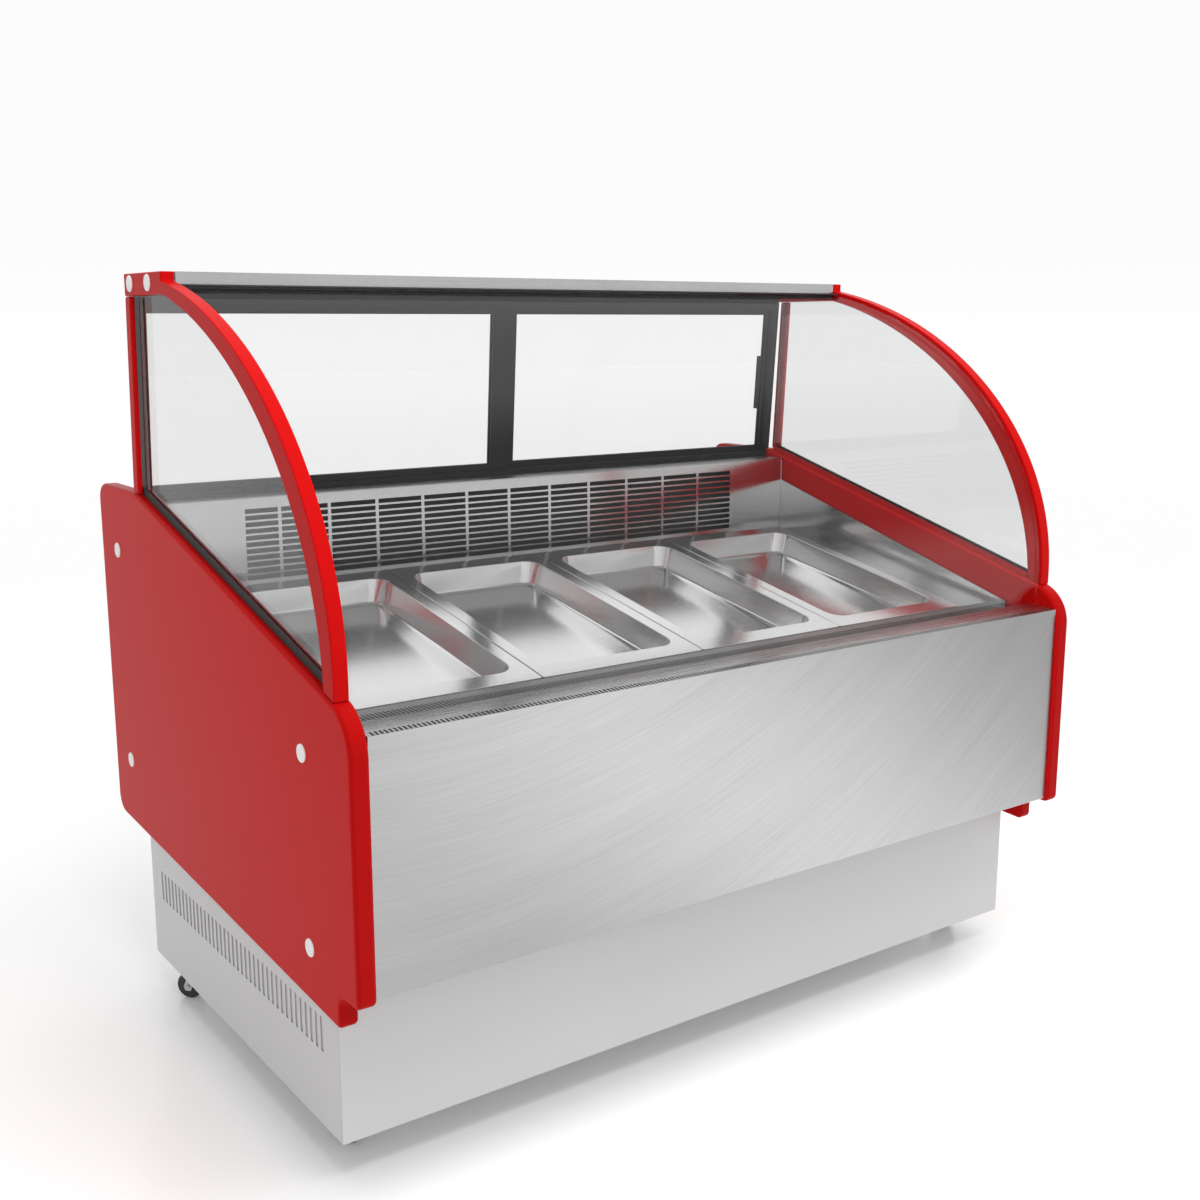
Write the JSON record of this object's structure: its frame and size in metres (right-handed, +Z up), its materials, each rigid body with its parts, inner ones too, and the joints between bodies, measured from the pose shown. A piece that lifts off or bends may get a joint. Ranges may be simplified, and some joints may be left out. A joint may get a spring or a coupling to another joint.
{
  "type": "refrigerated ice cream display counter",
  "caption": "Glazed refrigerated serving counter that shows and chills ice cream in lift-out steel pans under a curved glass, on castors.",
  "frame": {"origin": "on the floor, under the middle of the counter's box", "axes": "+Z up, -Y towards the customer (curved glass), +Y towards the server (sliding doors), +X along the counter to the right as the customer faces it"},
  "size_m": [1.5, 1.02, 1.3219],
  "materials": {
    "red_paint": "satin red powder coat",
    "red_moulding": "satin red lacquer on a rounded moulded panel",
    "white_steel": "satin pale grey-white powder coat",
    "brushed_steel": "brushed stainless steel",
    "polished_steel": "bright polished stainless steel",
    "galvanised": "zinc-plated steel",
    "black_profile": "black anodised profile",
    "rubber": "matt black",
    "black_plastic": "matt black",
    "grey_plastic": "matt grey",
    "light_plastic": "white",
    "insulation_white": "white liner over foam",
    "copper": "bare copper tube",
    "fin_aluminium": "bare fins",
    "clear_glass": "clear glass"
  },
  "bodies": {
    "cabinet": {"base_frame": "galvanised", "base_front_panel": "white_steel", "base_left_panel": "white_steel", "base_rear_panel": "white_steel", "base_right_panel": "white_steel", "compressor": "black_plastic", "condenser_coil": "fin_aluminium", "condenser_fan_shroud": "galvanised", "control_panel": "grey_plastic", "deck_frame": "polished_steel", "discharge_line": "copper", "door_track_frame": "black_profile", "drip_tray": "light_plastic", "evaporator_coil": "fin_aluminium", "evaporator_fan_housing": "light_plastic", "front_air_grille": "brushed_steel", "front_panel": "brushed_steel", "glass_hinge_profile": "black_profile", "insulated_tank": "insulation_white", "led_light": "light_plastic", "left_arc_frame": "red_paint", "left_glass_seal": "rubber", "left_rear_post": "red_paint", "left_side_glass": "clear_glass", "left_side_panel": "red_moulding", "power_inlet": "black_plastic", "rear_interior_panel": "polished_steel", "rear_worktop": "brushed_steel", "right_arc_frame": "red_paint", "right_glass_seal": "rubber", "right_rear_post": "red_paint", "right_side_glass": "clear_glass", "right_side_panel": "red_moulding", "top_shelf": "brushed_steel"},
    "glass_lid": {"front_glass": "clear_glass", "glass_clamp_profile": "black_profile"},
    "left_door": {"left_door_frame": "black_profile", "left_door_glass": "clear_glass"},
    "right_door": {"right_door_frame": "black_profile", "right_door_glass": "clear_glass"},
    "pan_body_1": {"pan_1": "polished_steel"},
    "pan_body_2": {"pan_2": "polished_steel"},
    "pan_body_3": {"pan_3": "polished_steel"},
    "pan_body_4": {"pan_4": "polished_steel"},
    "condenser_rotor": {"condenser_fan": "black_plastic"},
    "evaporator_rotor": {"evaporator_fan": "black_plastic"},
    "switch_rocker": {"power_switch": "black_plastic"},
    "thermostat_dial": {"thermostat_knob": "black_plastic"},
    "castor_swivel_front_left": {"castor_fork_front_left": "galvanised"},
    "castor_roller_front_left": {"castor_wheel_front_left": "black_plastic"},
    "castor_swivel_front_right": {"castor_fork_front_right": "galvanised"},
    "castor_roller_front_right": {"castor_wheel_front_right": "black_plastic"},
    "castor_swivel_rear_left": {"castor_fork_rear_left": "galvanised"},
    "castor_roller_rear_left": {"castor_wheel_rear_left": "black_plastic"},
    "castor_swivel_rear_right": {"castor_fork_rear_right": "galvanised"},
    "castor_roller_rear_right": {"castor_wheel_rear_right": "black_plastic"}
  },
  "joints": [
    {"name": "glass_hinge", "type": "hinge", "parent": "cabinet", "child": "glass_lid", "pos_m": [0, 0.11554, 1.29839], "axis": [-1, 0, 0], "range_deg": [0, 60]},
    {"name": "left_door_slide", "type": "slide", "parent": "cabinet", "child": "left_door", "axis": [1, 0, 0], "range_m": [0, 0.68]},
    {"name": "right_door_slide", "type": "slide", "parent": "cabinet", "child": "right_door", "axis": [-1, 0, 0], "range_m": [0, 0.68]},
    {"name": "pan_1_lift", "type": "slide", "parent": "cabinet", "child": "pan_body_1", "axis": [0, -0.1829, 0.9831], "range_m": [0, 0.15]},
    {"name": "pan_2_lift", "type": "slide", "parent": "cabinet", "child": "pan_body_2", "axis": [0, -0.1829, 0.9831], "range_m": [0, 0.15]},
    {"name": "pan_3_lift", "type": "slide", "parent": "cabinet", "child": "pan_body_3", "axis": [0, -0.1829, 0.9831], "range_m": [0, 0.15]},
    {"name": "pan_4_lift", "type": "slide", "parent": "cabinet", "child": "pan_body_4", "axis": [0, -0.1829, 0.9831], "range_m": [0, 0.15]},
    {"name": "castor_swivel_front_left", "type": "hinge", "parent": "cabinet", "child": "castor_swivel_front_left", "pos_m": [-0.68, -0.27, 0.0617], "axis": [0, 0, 1], "continuous": true},
    {"name": "castor_roll_front_left", "type": "hinge", "parent": "castor_swivel_front_left", "child": "castor_roller_front_left", "pos_m": [-0.66973, -0.29279, 0.025], "axis": [0.9117, 0.4108, 0], "continuous": true},
    {"name": "castor_swivel_front_right", "type": "hinge", "parent": "cabinet", "child": "castor_swivel_front_right", "pos_m": [0.68, -0.27, 0.0617], "axis": [0, 0, 1], "continuous": true},
    {"name": "castor_roll_front_right", "type": "hinge", "parent": "castor_swivel_front_right", "child": "castor_roller_front_right", "pos_m": [0.69444, -0.29041, 0.025], "axis": [0.8164, 0.5775, 0], "continuous": true},
    {"name": "castor_swivel_rear_left", "type": "hinge", "parent": "cabinet", "child": "castor_swivel_rear_left", "pos_m": [-0.68, 0.3, 0.0617], "axis": [0, 0, 1], "continuous": true},
    {"name": "castor_roll_rear_left", "type": "hinge", "parent": "castor_swivel_rear_left", "child": "castor_roller_rear_left", "pos_m": [-0.69678, 0.31853, 0.025], "axis": [-0.7413, -0.6712, 0], "continuous": true},
    {"name": "castor_swivel_rear_right", "type": "hinge", "parent": "cabinet", "child": "castor_swivel_rear_right", "pos_m": [0.68, 0.3, 0.0617], "axis": [0, 0, 1], "continuous": true},
    {"name": "castor_roll_rear_right", "type": "hinge", "parent": "castor_swivel_rear_right", "child": "castor_roller_rear_right", "pos_m": [0.68872, 0.32343, 0.025], "axis": [-0.9371, 0.3489, 0], "continuous": true},
    {"name": "condenser_fan_spin", "type": "hinge", "parent": "cabinet", "child": "condenser_rotor", "pos_m": [-0.604, -0.04, 0.215], "axis": [1, 0, 0], "continuous": true},
    {"name": "evaporator_fan_spin", "type": "hinge", "parent": "cabinet", "child": "evaporator_rotor", "pos_m": [0, 0.27, 0.615], "axis": [0, 1, 0], "continuous": true},
    {"name": "switch_rock", "type": "hinge", "parent": "cabinet", "child": "switch_rocker", "pos_m": [0.49, 0.4905, 0.873], "axis": [-1, 0, 0], "range_deg": [0, 16]},
    {"name": "thermostat_turn", "type": "hinge", "parent": "cabinet", "child": "thermostat_dial", "pos_m": [0.415, 0.4964, 0.873], "axis": [0, 1, 0], "range_deg": [0, 270]}
  ]
}
